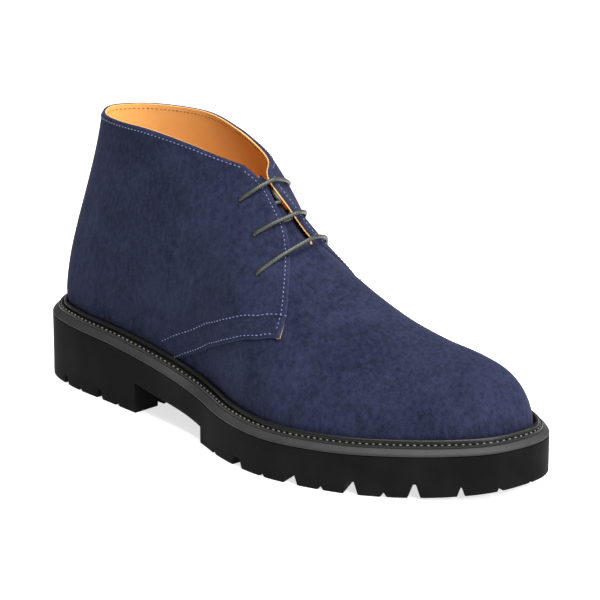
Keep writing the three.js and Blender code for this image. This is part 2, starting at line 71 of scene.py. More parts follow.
MIDDLE_SPLITS = (0.34, 0.66)


def round_outline(rows, per_span):
    rows = np.array(rows, float)
    spans = []
    for i in range(len(rows)):
        p0, p1, p2, p3 = (rows[(i + j) % len(rows)] for j in (-1, 0, 1, 2))
        t1 = np.linalg.norm(p1 - p0) ** 0.5
        t2 = t1 + np.linalg.norm(p2 - p1) ** 0.5
        t3 = t2 + np.linalg.norm(p3 - p2) ** 0.5
        t = (t1 + (t2 - t1) * np.arange(per_span) / per_span)[:, None]
        a1 = (t1 - t) / t1 * p0 + t / t1 * p1
        a2 = (t2 - t) / (t2 - t1) * p1 + (t - t1) / (t2 - t1) * p2
        a3 = (t3 - t) / (t3 - t2) * p2 + (t - t2) / (t3 - t2) * p3
        b1 = (t2 - t) / t2 * a1 + t / t2 * a2
        b2 = (t3 - t) / (t3 - t1) * a2 + (t - t1) / (t3 - t1) * a3
        spans.append((t2 - t) / (t2 - t1) * b1 + (t - t1) / (t2 - t1) * b2)
    return np.vstack(spans)


PER_SPAN = 40
outline = round_outline(LATERAL_EDGE + MEDIAL_EDGE[-2:0:-1], PER_SPAN)
forwards = np.roll(outline, -1, 0) - np.roll(outline, 1, 0)
outwards = np.stack([forwards[:, 1], -forwards[:, 0]], 1)
outwards /= np.linalg.norm(outwards, axis=1)[:, None]
toe_row = (len(LATERAL_EDGE) - 1) * PER_SPAN
side_rows = {
    "lateral": np.arange(toe_row + 1),
    "medial": np.concatenate([[0], np.arange(len(outline) - 1, toe_row - 1, -1)]),
}
SIDES = ("lateral", "medial")
SIGN = {"lateral": -1.0, "medial": 1.0}
side_runs = {}
for side, rows in side_rows.items():
    steps = np.linalg.norm(np.diff(outline[rows], axis=0), axis=1)
    length = np.concatenate([[0], np.cumsum(steps)])
    side_runs[side] = (length / length[-1], outline[rows], outwards[rows], length[-1])


def edge(side, fraction, inset):
    """Point on the sole's edge, moved inwards."""
    fractions, points, normals, _ = side_runs[side]
    f = np.clip(fraction, 0, 1)
    p = np.stack([np.interp(f, fractions, points[:, i]) for i in (0, 1)], -1)
    n = np.stack([np.interp(f, fractions, normals[:, i]) for i in (0, 1)], -1)
    n /= np.linalg.norm(n, axis=-1, keepdims=True)
    return p - n * (np.asarray(inset) + 0 * f)[..., None]


def sole_top(x):
    """Height of the outsole's upper edge, without overshoot between the rows."""
    px, pz = np.array(SOLE_TOP, float).T
    x = np.clip(x, 0, LENGTH)
    rise = np.diff(pz) / np.diff(px)
    product = rise[:-1] * rise[1:]
    total = np.where(product > 0, rise[:-1] + rise[1:], 1)
    slope = np.concatenate([rise[:1], np.where(product > 0, 2 * product / total, 0), rise[-1:]])
    i = np.clip(np.searchsorted(px, x, side="left") - 1, 0, len(px) - 2)
    h = px[i + 1] - px[i]
    k = (x - px[i]) / h
    low = pz[i] * (1 + 2 * k) * (1 - k) ** 2 + slope[i] * h * k * (1 - k) ** 2
    high = pz[i + 1] * k * k * (3 - 2 * k) + slope[i + 1] * h * k * k * (k - 1)
    return low + high


def spring(x):
    return SPRING_RISE * (np.clip(x - SPRING_START, 0, None) / (LENGTH - SPRING_START)) ** 2


def weld(points, faces):
    """Merges equal points and drops the faces that collapse; also gives the first row of each."""
    _, first, where = np.unique(np.round(points, 3), axis=0, return_index=True, return_inverse=True)
    where = where.reshape(-1)
    kept = []
    for face in faces:
        corners = [int(where[i]) for i in face]
        corners = [c for i, c in enumerate(corners) if c != corners[i - 1]]
        if len(set(corners)) == len(corners) > 2:
            kept.append(corners)
    return points[first], kept, first


def grid(rows, columns, start=0, flip=False):
    """Quads between rows of points."""
    corners = [start + i * columns + j for i in range(rows - 1) for j in range(columns - 1)]
    if flip:
        return [[a, a + 1, a + columns + 1, a + columns] for a in corners]
    return [[a, a + columns, a + columns + 1, a + 1] for a in corners]


def make_piece(name, points, faces, materials, sharp, slots=None, uv=None, edge_highlight=None):
    """Mesh from millimetres, smooth but for edges sharper than an angle; the last argument gives each point
    the painted highlight that its suede gets along the cut edges.
    """
    mesh = bpy.data.meshes.new(name)
    placed = (np.asarray(points, float) - MIDDLE) / 1000
    mesh.from_pydata(placed.tolist(), [], faces)
    for material in materials:
        mesh.materials.append(material)
    if slots is not None:
        mesh.polygons.foreach_set("material_index", np.array(slots, np.int32))
    mesh.polygons.foreach_set("use_smooth", np.ones(len(faces), bool))
    mesh.set_sharp_from_angle(angle=math.radians(sharp))
    if uv is not None:
        layer = mesh.uv_layers.new(name="path")
        corners = np.zeros(len(mesh.loops), np.int32)
        mesh.loops.foreach_get("vertex_index", corners)
        layer.data.foreach_set("uv", np.asarray(uv, float)[corners].ravel())
    if edge_highlight is not None:
        attribute = mesh.attributes.new("edge_highlight", "FLOAT", "POINT")
        attribute.data.foreach_set("value", np.asarray(edge_highlight, np.float32))
    mesh.update()
    piece = bpy.data.objects.new(name, mesh)
    bpy.context.scene.collection.objects.link(piece)
    return piece


def add(tree, kind, inputs=None, **settings):
    """Adds a node; inputs are values or sockets to link."""
    node = tree.nodes.new(kind)
    for key, value in settings.items():
        setattr(node, key, value)
    for key, value in (inputs or {}).items():
        if isinstance(value, bpy.types.NodeSocket):
            tree.links.new(value, node.inputs[key])
        else:
            node.inputs[key].default_value = value
    return node


def sums(tree, operation, *values, **settings):
    inputs = dict(enumerate(values))
    return add(tree, "ShaderNodeMath", inputs, operation=operation, **settings).outputs[0]


def noise(tree, place, scale, detail, **more):
    inputs = {"Vector": place, "Scale": scale, "Detail": detail, **more}
    return add(tree, "ShaderNodeTexNoise", inputs).outputs["Fac"]


def stretch(tree, value, low, high):
    inputs = {"Value": value, "From Min": low, "From Max": high}
    return add(tree, "ShaderNodeMapRange", inputs).outputs[0]


def tint(tree, factor, low, high):
    inputs = {"Factor": factor, 6: low, 7: high}
    return add(tree, "ShaderNodeMix", inputs, data_type="RGBA").outputs[2]


def new_group(name, kind, inputs, outputs):
    """Node group; an input is a colour, a number or the name of a kind of socket."""
    tree = bpy.data.node_groups.new(name, kind)
    for label, value in inputs.items():
        socket = {tuple: "NodeSocketColor", float: "NodeSocketFloat"}.get(type(value), value)
        made = tree.interface.new_socket(label, in_out="INPUT", socket_type=socket)
        if socket != value:
            made.default_value = value
    for label, socket in outputs.items():
        tree.interface.new_socket(label, in_out="OUTPUT", socket_type=socket)
    return tree, tree.nodes.new("NodeGroupInput").outputs, tree.nodes.new("NodeGroupOutput")


def give(tree, out, results):
    """Links a group's results to its outputs."""
    for label, value in results.items():
        tree.links.new(value, out.inputs[label])


def new_material(name, **principled):
    material = bpy.data.materials.new(name)
    material.use_nodes = True
    shader = material.node_tree.nodes["Principled BSDF"]
    for key, value in principled.items():
        shader.inputs[key.replace("_", " ")].default_value = value
    return material, material.node_tree, shader


def wear(tree, shader, colour, height, strength, depth):
    """Gives a shader its colour, and a bump from a height."""
    bump = add(tree, "ShaderNodeBump", {"Height": height, "Strength": strength, "Distance": depth})
    tree.links.new(colour, shader.inputs["Base Color"])
    tree.links.new(bump.outputs["Normal"], shader.inputs["Normal"])


def skinned(name, skin_group, inputs, strength, depth, **principled):
    """Material that wears a skin group; also gives its tree and the group's node."""
    material, tree, shader = new_material(name, **principled)
    skin = add(tree, "ShaderNodeGroup", node_tree=skin_group)
    for label, value in inputs.items():
        skin.inputs[label].default_value = value
    wear(tree, shader, skin.outputs["Color"], skin.outputs["Height"], strength, depth)
    if "Roughness" in skin.outputs:
        tree.links.new(skin.outputs["Roughness"], shader.inputs["Roughness"])
    return material, tree, skin


# Moulded rubber: a fine sandblasted skin with faint cloudy patches and dusty high spots.
NAP_OUTPUTS = {"Color": "NodeSocketColor", "Height": "NodeSocketFloat"}
SKIN_OUTPUTS = {**NAP_OUTPUTS, "Roughness": "NodeSocketFloat"}
rubber_skin, skin_in, skin_out = new_group(
    "moulded rubber skin", "ShaderNodeTree",
    {"Colour": (0.02, 0.02, 0.02, 1), "Dust": (0.05, 0.05, 0.05, 1),
     "Cloud Size": 40.0, "Grain Size": 1500.0, "Roughness": 0.6},
    SKIN_OUTPUTS,
)
skin_place = add(rubber_skin, "ShaderNodeTexCoord").outputs["Object"]
cloud = noise(rubber_skin, skin_place, skin_in["Cloud Size"], 4.0)
grain = noise(rubber_skin, skin_place, skin_in["Grain Size"], 2.0)
dusty = stretch(rubber_skin, cloud, 0.4, 0.75)
give(rubber_skin, skin_out, {
    "Color": tint(rubber_skin, dusty, skin_in["Colour"], skin_in["Dust"]),
    "Roughness": sums(rubber_skin, "MULTIPLY_ADD", grain, 0.16, skin_in["Roughness"]),
    "Height": grain,
})


def rubber(name, colour, dust, roughness, grain_depth, shine):
    colours = {"Colour": (*colour, 1), "Dust": (*dust, 1), "Roughness": roughness}
    return skinned(name, rubber_skin, colours, 0.5, grain_depth, Specular_IOR_Level=shine)[0]


sole_rubber = rubber(
    "black sole rubber", (0.0048, 0.0048, 0.0049), (0.0085, 0.0085, 0.0087), 0.5, 0.00012, 0.02,
)

# The tread: stops along the lateral edge with the height that each leaves above the floor.
COLUMN_STEP, COLUMN_LEAST = 3.5, 0.14
LUG_CORNER = 0.3
WALL_CLEAR, WALL_STEP = 0.6, 0.02
edge_length = side_runs["lateral"][3]
stops, lifts = [0.0], [0.0]
nicks = [(place, NICK_DEPTH, NICK_TOP, NICK_WIDTH) for place in NICKS]
for place, depth, top, wide in sorted(LUG_GAPS + nicks):
    centre = place * edge_length
    stops += [centre - wide / 2, centre - top / 2, centre + top / 2, centre + wide / 2]
    lifts += [0.0, depth, depth, 0.0]
stops, lifts = np.array(stops), np.array(lifts)


def tread_lift(at, soft):
    """Height above the floor, averaged a little so that the lugs' corners are soft."""
    return np.mean([np.interp(at + soft * k, stops, lifts) for k in (-1, -0.5, 0, 0.5, 1)], axis=0)


walls = {}
for side, (fractions, rim, _, _) in side_runs.items():
    walls[side] = [np.interp(x, rim[:, 0], fractions) for x in (HEEL_BREAST, ARCH_END)]
wall_places = [w * edge_length for w in walls["lateral"]]
places = np.concatenate([
    np.arange(0, edge_length, COLUMN_STEP), stops - LUG_CORNER, stops, stops + LUG_CORNER, [edge_length],
])
places = np.unique(np.round(np.clip(places, 0, edge_length), 2))
places = places[np.concatenate([[True], np.diff(places) > COLUMN_LEAST])]
places[-1] = edge_length
places = places[np.all([np.abs(places - w) > WALL_CLEAR for w in wall_places], axis=0)]
places = np.sort(np.concatenate([places] + [[w - WALL_STEP, w + WALL_STEP] for w in wall_places]))
in_arch = (places > wall_places[0]) & (places < wall_places[1])
column_fraction = {
    "lateral": places / edge_length,
    "medial": np.interp(places / edge_length, [0, *walls["lateral"], 1], [0, *walls["medial"], 1]),
}
column_lift = np.where(in_arch, 0, tread_lift(places, LUG_CORNER))


def under(x, lift):
    """Height of the underside: the arch between heel and forepart, the toe's rise and the lugs."""
    arch = ARCH_BACK + (ARCH_FRONT - ARCH_BACK) * (x - HEEL_BREAST) / (ARCH_END - HEEL_BREAST)
    return np.where(in_arch, arch, spring(x) + lift)


# Rows from the top of the side wall, round its soft lower edge, under the lugs to the channel.
SIDE_WALL = [0.0, 0.06, 0.3, 0.6, 0.85]
EDGE_ROUND = 0.9
UNDER_ROWS = [  # inset, height over the tread as a share of the round
    (0.0, 1.0), (0.08, 0.55), (0.28, 0.22), (0.6, 0.04), (1.1, 0.0), (8.0, 0.0), (LUG_REACH, 0.0),
]
MIDDLE_LUG_LOWER = 0.4
GAP_GOES_IN = 2.4
SPLIT_EDGES = (-0.04, -0.03, 0.03, 0.04)
SPLIT_HALF = 0.035


def sole_loop(inset, height):
    """A ring of points round the sole, along the lateral side and back along the medial."""
    halves = []
    for side in SIDES:
        p = edge(side, column_fraction[side], inset)
        halves.append(np.column_stack([p, height(p[:, 0])]))
    return np.concatenate([halves[0], halves[1][-2:0:-1]])


def side_height(x, k):
    """Height at a share k of the way down the side wall."""
    top = sole_top(x)
    return top + (under(x, column_lift) + EDGE_ROUND - top) * k


def sole_under(inset, raise_by, lift):
    return sole_loop(inset, lambda x: under(x, lift) + raise_by)


def facing(loop):
    """The two halves of a loop, both from heel to toe."""
    medial = np.concatenate([loop[:1], loop[columns:][::-1], loop[columns - 1:columns]])
    return [loop[:columns], medial]


columns = len(places)
channel_lift = np.where(in_arch, 0, CHANNEL_DEPTH)
middle_depth = CHANNEL_DEPTH - MIDDLE_LUG_LOWER
middle_lift = np.where(column_lift > GAP_GOES_IN, middle_depth, 0)
loops = [sole_loop(0.0, lambda x: side_height(x, k)) for k in SIDE_WALL]
loops += [sole_under(inset, EDGE_ROUND * rise, column_lift) for inset, rise in UNDER_ROWS]
loops.append(sole_under(LUG_REACH + CHANNEL_SLOPE, 0.0, np.maximum(channel_lift, column_lift)))
loops.append(sole_under(CHANNEL_END - CHANNEL_SLOPE, 0.0, channel_lift))
loops.append(sole_under(CHANNEL_END, 0.0, middle_lift))
loop_size = len(loops[0])
sole_points = [np.concatenate(loops)]
sole_faces = []
for r in range(len(loops) - 1):
    for i in range(loop_size):
        a, b = r * loop_size + i, r * loop_size + (i + 1) % loop_size
        sole_faces.append((a, a + loop_size, b + loop_size, b))

# The underside's middle: rows across the shoe with two splits along it, then the flat top.
across = [0.0, 0.1, 0.22, 0.5, 0.78, 0.9, 1.0]
across = sorted(across + [split + step for split in MIDDLE_SPLITS for step in SPLIT_EDGES])
near_row, far_row = facing(loops[-1])
base = len(sole_points[0])
for w in across:
    row = near_row + (far_row - near_row) * w
    in_split = any(abs(w - split) < SPLIT_HALF for split in MIDDLE_SPLITS)
    row[:, 2] = under(row[:, 0], np.where(in_arch, 0, middle_depth if in_split else middle_lift))
    sole_points.append(row)
sole_points += facing(loops[0])
sole_faces += grid(len(across), columns, base)
sole_faces += grid(2, columns, base + len(across) * columns, flip=True)
points, faces, _ = weld(np.concatenate(sole_points), sole_faces)
outsole = make_piece("outsole_tread", points, faces, [sole_rubber], 34)
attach(outsole, "root")
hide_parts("outsole")

# -------------------- midsole band
# A strip of grey rubber glued between the outsole and the welt, sanded flush with the sole's
# edge. Its upper edge is bevelled back to the welt.
BAND = [  # inset from the sole's edge, height over the outsole
    (12.0, 0.35), (0.5, 0.35), (0.12, 0.45), (0.0, 0.8), (0.12, 1.2), (0.7, 1.75), (1.7, 2.55),
    (2.5, 3.15), (2.85, 3.36), (3.15, 3.42), (3.45, 3.36), (12.0, 3.36),
]
SIDE_STEPS = 130
even = np.linspace(0, 1, SIDE_STEPS + 1)
spread = 0.5 * even + 0.25 * (1 - np.cos(np.pi * even))


def edge_ring(inset, height):
    """Ring of points: inset is a number or a function of the place along the edge."""
    halves = []
    for side in SIDES:
        p = edge(side, spread, inset(spread) if callable(inset) else inset)
        halves.append(np.column_stack([p, sole_top(p[:, 0]) + height]))
    return np.concatenate([halves[0], halves[1][-2:0:-1]])


def ring_faces(rings, closed):
    n = len(rings[0])
    joined = len(rings) if closed else len(rings) - 1
    quads = []
    for r in range(joined):
        q = ((r + 1) % len(rings)) * n
        for i in range(n):
            j = (i + 1) % n
            quads.append((r * n + i, r * n + j, q + j, q + i))
    return quads


def strip_cap(start, flip):
    """Strips across the shoe between the columns that face each other."""
    n = 2 * SIDE_STEPS
    strips = [(start, start + 1, start + n - 1)]
    for i in range(1, SIDE_STEPS - 1):
        strips.append((start + i, start + i + 1, start + n - i - 1, start + n - i))
    strips.append((start + SIDE_STEPS - 1, start + SIDE_STEPS, start + SIDE_STEPS + 1))
    return [s[::-1] for s in strips] if flip else strips


def capped(rings):
    """Faces of a stack of rings, closed across the shoe below and above."""
    last_ring = (len(rings) - 1) * len(rings[0])
    return ring_faces(rings, False) + strip_cap(0, True) + strip_cap(last_ring, False)


band_rings = [edge_ring(inset, height) for inset, height in BAND]
band_rubber = rubber(
    "grey band rubber", (0.016, 0.016, 0.0162), (0.025, 0.025, 0.0253), 0.5, 0.0001, 0.25,
)
midsole = make_piece("midsole_band", np.concatenate(band_rings), capped(band_rings), [band_rubber], 50)
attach(midsole, "root")
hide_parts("midsole")

# -------------------- welt
# A black rubber welt stitched down on the midsole: a flat channel that holds the thread, a deep
# groove, and a rounded bead that hugs the upper. It is cemented and stitched all the way round.
UPPER_INSET = [  # place along the edge, how far in the upper starts
    (0.0, 8.0), (0.09, 9.0), (0.19, 9.5), (0.3, 10.0), (0.4, 10.0), (0.47, 9.5), (0.525, 9.2),
    (0.57, 8.8), (0.61, 8.4), (0.65, 8.0), (1.0, 8.0),
]
WELT = [  # measured from the sole's edge or from the upper, distance, height over the outsole
    ("edge", 3.35, 3.5), ("edge", 3.3, 4.6), ("edge", 3.45, 4.95), ("edge", 3.75, 4.9),
    ("edge", 3.95, 4.5), ("edge", 5.0, 4.45), ("edge", 5.15, 4.9), ("upper", -3.75, 4.95),
    ("upper", -3.55, 4.7), ("upper", -3.45, 4.0), ("upper", -3.1, 4.0), ("upper", -3.0, 5.6),
    ("upper", -2.85, 6.35), ("upper", -2.5, 6.85), ("upper", -2.05, 7.05), ("upper", -1.6, 6.9),
    ("upper", -1.25, 6.45), ("upper", -1.15, 5.6), ("upper", -1.15, 3.5),
]


def upper_inset(fraction):
    table = np.array(UPPER_INSET)
    return np.interp(fraction, table[:, 0], table[:, 1])


welt_rings = []
for origin, distance, height in WELT:
    inset = distance if origin == "edge" else (lambda f: upper_inset(f) + distance)
    welt_rings.append(edge_ring(inset, height))
welt_rubber = rubber(
    "black welt rubber", (0.0025, 0.0025, 0.0022), (0.006, 0.0062, 0.005), 0.34, 0.00006, 0.3,
)
welt_faces = ring_faces(welt_rings, True)
welt = make_piece("welt_bead", np.concatenate(welt_rings), welt_faces, [welt_rubber], 50)
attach(welt, "root")
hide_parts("welt")

# -------------------- welt stitches
# One row of pale waxed thread that runs in the welt's channel right round the shoe and holds the
# welt to the midsole. Each stitch is a short rounded bead, a little uneven as a machine leaves it.
WELT_ROW_IN, WELT_ROW_UP = 4.5, 4.7
WELT_PITCH, WELT_LONG, WELT_THICK = 3.3, 1.9, 0.95
UNEVENNESS = 0.12
RANDOM_SEED = 7
stitch_tree, stitch_in, stitch_out = new_group(
    "row of stitches", "GeometryNodeTree",
    {"Geometry": "NodeSocketGeometry", "Pitch": 0.0025, "Length": 0.0018, "Thickness": 0.0006,
     "Unevenness": UNEVENNESS, "Thread": "NodeSocketMaterial"},
    {"Geometry": "NodeSocketGeometry"},
)
as_curve = add(stitch_tree, "GeometryNodeMeshToCurve", {0: stitch_in["Geometry"]})
in_pitch = add(stitch_tree, "GeometryNodeResampleCurve",
               {"Curve": as_curve.outputs[0], "Length": stitch_in["Pitch"]}, mode="LENGTH")
heading = add(stitch_tree, "GeometryNodeInputTangent")
turned = add(stitch_tree, "FunctionNodeAlignRotationToVector", {"Vector": heading.outputs[0]}, axis="X")
bead_mesh = add(stitch_tree, "GeometryNodeMeshUVSphere", {"Segments": 6, "Rings": 4, "Radius": 0.5})
size = add(stitch_tree, "ShaderNodeCombineXYZ",
           {"X": stitch_in["Length"], "Y": stitch_in["Thickness"], "Z": stitch_in["Thickness"]})
least = sums(stitch_tree, "SUBTRACT", 1.0, stitch_in["Unevenness"])
most = sums(stitch_tree, "ADD", 1.0, stitch_in["Unevenness"])
uneven = add(stitch_tree, "FunctionNodeRandomValue",
             {2: least, 3: most, "Seed": RANDOM_SEED}, data_type="FLOAT")
scaled = add(stitch_tree, "ShaderNodeVectorMath",
             {0: size.outputs[0], "Scale": uneven.outputs[1]}, operation="SCALE")
placed = add(stitch_tree, "GeometryNodeInstanceOnPoints",
             {"Points": in_pitch.outputs[0], "Instance": bead_mesh.outputs["Mesh"],
              "Rotation": turned.outputs[0], "Scale": scaled.outputs[0]})
real = add(stitch_tree, "GeometryNodeRealizeInstances", {0: placed.outputs[0]})
smooth = add(stitch_tree, "GeometryNodeSetShadeSmooth", {"Geometry": real.outputs[0]})
threaded = add(stitch_tree, "GeometryNodeSetMaterial",
               {"Geometry": smooth.outputs[0], "Material": stitch_in["Thread"]})
give(stitch_tree, stitch_out, {"Geometry": threaded.outputs[0]})


def thread(name, colour, shade, **principled):
    """Twisted sewing thread: fine slanting plies."""
    material, tree, shader = new_material(name, **principled)
    where = add(tree, "ShaderNodeTexCoord").outputs["Object"]
    ply = noise(tree, where, 2600.0, 1.0)
    wear(tree, shader, tint(tree, ply, (*shade, 1), (*colour, 1)), ply, 0.5, 0.0001)
    return material


def apply(piece):
    """Makes the piece's modifiers part of its mesh."""
    made = bpy.data.meshes.new_from_object(piece.evaluated_get(bpy.context.evaluated_depsgraph_get()))
    piece.modifiers.clear()
    piece.data = made


def sew(name, rows, material, pitch, length, thickness, closed=False):
    """Rows of stitches along runs of points; all in millimetres."""
    points, edges = [], []
    for run in rows:
        start = len(points)
        points += [tuple(p) for p in (np.asarray(run) - MIDDLE) / 1000]
        edges += [(start + i, start + i + 1) for i in range(len(run) - 1)]
        if closed:
            edges.append((start + len(run) - 1, start))
    mesh = bpy.data.meshes.new(name)
    mesh.from_pydata(points, edges, [])
    piece = bpy.data.objects.new(name, mesh)
    bpy.context.scene.collection.objects.link(piece)
    modifier = piece.modifiers.new("stitches", "NODES")
    modifier.node_group = stitch_tree
    settings = {"Pitch": pitch / 1000, "Length": length / 1000, "Thickness": thickness / 1000,
                "Unevenness": UNEVENNESS, "Thread": material}
    for item in stitch_tree.interface.items_tree:
        if item.in_out == "INPUT" and item.name in settings:
            modifier[item.identifier] = settings[item.name]
    apply(piece)
    return piece


welt_thread = thread("pale welt thread", (0.13, 0.13, 0.125), (0.07, 0.07, 0.066), Roughness=0.6)
welt_row = edge_ring(WELT_ROW_IN, WELT_ROW_UP)
welt_stitches = sew(
    "welt_stitches", [welt_row], welt_thread, WELT_PITCH, WELT_LONG, WELT_THICK, closed=True,
)
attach(welt_stitches, "root")

# -------------------- insole
# A leather board inside the shoe, cut to the last's sole and lying on the midsole. A sock of tan
# leather is glued over it, right up to the lining.
INSOLE = [  # inset from the upper, height over the outsole
    (2.4, 4.0), (2.4, 6.3), (2.9, 6.9), (4.2, 7.15), (8.0, 7.0),
]
insole_rings = [edge_ring(lambda f: upper_inset(f) + d, h) for d, h in INSOLE]

# Vegetable-tanned leather: pores, cloudy tan and a soft polish.
tan_grain, tan_in, tan_out = new_group(
    "tan leather grain", "ShaderNodeTree",
    {"Light": (0.7, 0.34, 0.09, 1), "Deep": (0.5, 0.2, 0.04, 1), "Cloud Size": 28.0, "Pore Size": 1100.0},
    SKIN_OUTPUTS,
)
tan_place = add(tan_grain, "ShaderNodeTexCoord").outputs["Object"]
tan_cloud = noise(tan_grain, tan_place, tan_in["Cloud Size"], 5.0)
tan_pore = add(tan_grain, "ShaderNodeTexVoronoi", {"Vector": tan_place, "Scale": tan_in["Pore Size"]})
give(tan_grain, tan_out, {
    "Color": tint(tan_grain, stretch(tan_grain, tan_cloud, 0.3, 0.7), tan_in["Deep"], tan_in["Light"]),
    "Roughness": sums(tan_grain, "MULTIPLY_ADD", tan_cloud, 0.3, 0.34),
    "Height": tan_pore.outputs["Distance"],
})


def tan_leather(name, light, deep):
    colours = {"Light": (*light, 1), "Deep": (*deep, 1)}
    return skinned(name, tan_grain, colours, 0.25, 0.00012)[0]


sock_leather = tan_leather("tan sock leather", (0.62, 0.3, 0.08), (0.5, 0.21, 0.05))
insole = make_piece("insole_sock", np.concatenate(insole_rings), capped(insole_rings), [sock_leather], 50)
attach(insole, "root")
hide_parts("insole")

# -------------------- upper: the last
# The foot-shaped last that every leather piece is pulled over and that is drawn out at the end.
# A rib runs from the feather line up to the collar or to the ridge of the instep. A place is s,
# from heel to toe along the ribs, and t, from the feather line to the top. The inner side is
# slimmer over the instep.
FEATHER = 4.2
SLIM_BY, SLIM_AT, SLIM_SPREAD = 0.42, 0.755, 0.165
NORMAL_STEP = 0.004
RIBS = [  # edge, inset, top x, middle, half width, z, lower handle f, o, u, upper handle f, o, u
    (0.0, 8.0, 24, 0, 0, 140.6, -3, 0, 30, -4, 0, -36),
    (0.09, 9.0, 32, 0, 13, 140.6, -1, 2, 30, -3, 4, -36),
    (0.19, 9.5, 48, 1, 19.8, 140.8, -1, 3, 30, -2, 5, -36),
    (0.3, 10, 72, 1.5, 21.8, 141, 0, 4, 32, 0, 5, -36),
    (0.4, 10, 95, 1, 18.5, 138, -2, 4, 32, 5, 9, -34),
    (0.47, 9.5, 113, 0.5, 14.3, 134, -5, 3, 32, 8, 13, -30),
    (0.525, 9.2, 128, -1, 8.5, 130.5, -8, 1, 33, 8, 16, -24),
    (0.57, 8.8, 138, -3.5, 0, 125.5, -12, -1, 34, 2, 17, -14),
    (0.61, 8.4, 152, -4.5, 0, 113.8, -14, -4, 34, -4, 16, -6),
    (0.65, 8.0, 166, -3.5, 0, 99, -10, -3, 28, -4, 20, -4),
    (0.7, 8.0, 181, -1, 0, 85.6, -5, -2, 24, 0, 23, -2),
    (0.76, 8.0, 202, 1, 0, 72.2, -2, -1, 20, 0, 24, 0),
    (0.83, 8.0, 226, 4.5, 0, 63.5, 0, 0, 17, 2, 23, 0),
    (0.91, 8.0, 249, 8, 0, 59.5, 0, 0, 15, 8, 18, 0),
    (1.0, 8.0, 264, 10, 0, 58, 0, 0, 18, 16, 0, 0),
]
MIRRORED = np.array([-1, 1, 1, 1, -1, 1, 1, -1, 1, 1, -1, 1], float)


def four_point(p0, p1, p2, p3, k):
    """Smooth curve through p1 and p2."""
    return 0.5 * (2 * p1 + (p2 - p0) * k + (2 * p0 - 5 * p1 + 4 * p2 - p3) * k ** 2
                  + (3 * p1 - p0 - 3 * p2 + p3) * k ** 3)


def between_rows(count, u):
    """Row before the place u of a table, and how far past it the place lies."""
    f = u * (count - 1)
    i = np.minimum(np.floor(f).astype(int), count - 2)
    return i, (f - i)[..., None]


def last_surface(side, s, t):
    """Point on the last."""
    s, t = np.broadcast_arrays(np.asarray(s, float), np.asarray(t, float))
    table = np.array(RIBS, float)
    past = table[-2] * MIRRORED
    past[0] += 2
    rows = np.vstack([table[1] * MIRRORED, table, past])
    i, k = between_rows(len(table), np.clip(s, 0, 1))
    r = four_point(rows[i], rows[i + 1], rows[i + 2], rows[i + 3], k)
    out = SIGN[side]
    foot = edge(side, r[..., 0], r[..., 1])
    a = np.concatenate([foot, (sole_top(foot[..., 0]) + FEATHER)[..., None]], -1)
    d = np.stack([r[..., 2], r[..., 3] + out * r[..., 4], r[..., 5]], -1)
    b = a + np.stack([r[..., 6], out * r[..., 7], r[..., 8]], -1)
    slim = 1.0
    if side == "medial":
        slim = 1 - SLIM_BY * np.exp(-((s - SLIM_AT) / SLIM_SPREAD) ** 2)
    c = d + np.stack([r[..., 9], out * r[..., 10] * slim, r[..., 11]], -1)
    t = t[..., None]
    return a * (1 - t) ** 3 + 3 * b * t * (1 - t) ** 2 + 3 * c * t * t * (1 - t) + d * t ** 3


def last_normal(side, s, t):
    """Direction out of the last."""
    h = NORMAL_STEP
    s, t = np.broadcast_arrays(np.asarray(s, float), np.asarray(t, float))
    ds = last_surface(side, np.minimum(s + h, 1), t) - last_surface(side, np.maximum(s - h, 0), t)
    dt = last_surface(side, s, np.minimum(t + h, 1)) - last_surface(side, s, np.maximum(t - h, 0))
    n = np.cross(ds, dt) * -SIGN[side]
    return n / np.maximum(np.linalg.norm(n, axis=-1, keepdims=True), 1e-9)


def on_last(side, s, t, lift):
    return last_surface(side, s, t) + last_normal(side, s, t) * lift


def along_rows(rows, u):
    """Smooth run through (s, t) rows, u from 0 to 1."""
    table = np.array(rows, float)
    i, k = between_rows(len(table), np.clip(u, 0, 1))
    at = [table[np.clip(i + j, 0, len(table) - 1)] for j in (-1, 0, 1, 2)]
    return four_point(*at, k)


def two_sided(at, us, vs):
    """Sheet over both sides of the shoe: points, quads facing out, u, v and side of each point."""
    points, quads, labels = [], [], []
    for side in SIDES:
        u, v = np.meshgrid(us, vs, indexing="ij")
        start = sum(len(p) for p in points)
        points.append(at(side, u, v).reshape(-1, 3))
        labels.append(np.column_stack([u.ravel(), v.ravel(), np.full(u.size, SIGN[side])]))
        made = grid(len(us), len(vs), start)
        quads += made if side == "lateral" else [quad[::-1] for quad in made]
    points, quads, first = weld(np.concatenate(points), quads)
    return points, quads, np.concatenate(labels)[first]


def sheet_normals(points, faces):
    normals = np.zeros_like(points)
    for face in faces:
        p = points[face]
        n = np.cross(p[2] - p[0], (p[3] if len(face) > 3 else p[0]) - p[1])
        for i in face:
            normals[i] += n
    return normals / np.maximum(np.linalg.norm(normals, axis=1, keepdims=True), 1e-9)


def wall(points, faces, depths):
    """Closed wall on a sheet, depths along its normals from outside in; also each face's leather."""
    normals = sheet_normals(points, faces)
    count = len(points)
    levels = len(depths)
    placed = [points + normals * (np.zeros(count) + d)[:, None] for d in depths]
    built = [tuple(f) for f in faces]
    layer = [0] * len(faces)
    inner = (levels - 1) * count
    built += [tuple(i + inner for i in f[::-1]) for f in faces]
    layer += [levels] * len(faces)
    rims = {}
    for f in faces:
        for i, p in enumerate(f):
            q = f[(i + 1) % len(f)]
            if (q, p) in rims:
                del rims[(q, p)]
            else:
                rims[(p, q)] = True
    for p, q in rims:
        for k in range(levels - 1):
            built.append((q + k * count, p + k * count, p + (k + 1) * count, q + (k + 1) * count))
            layer.append(k + 1)
    return np.concatenate(placed), built, layer


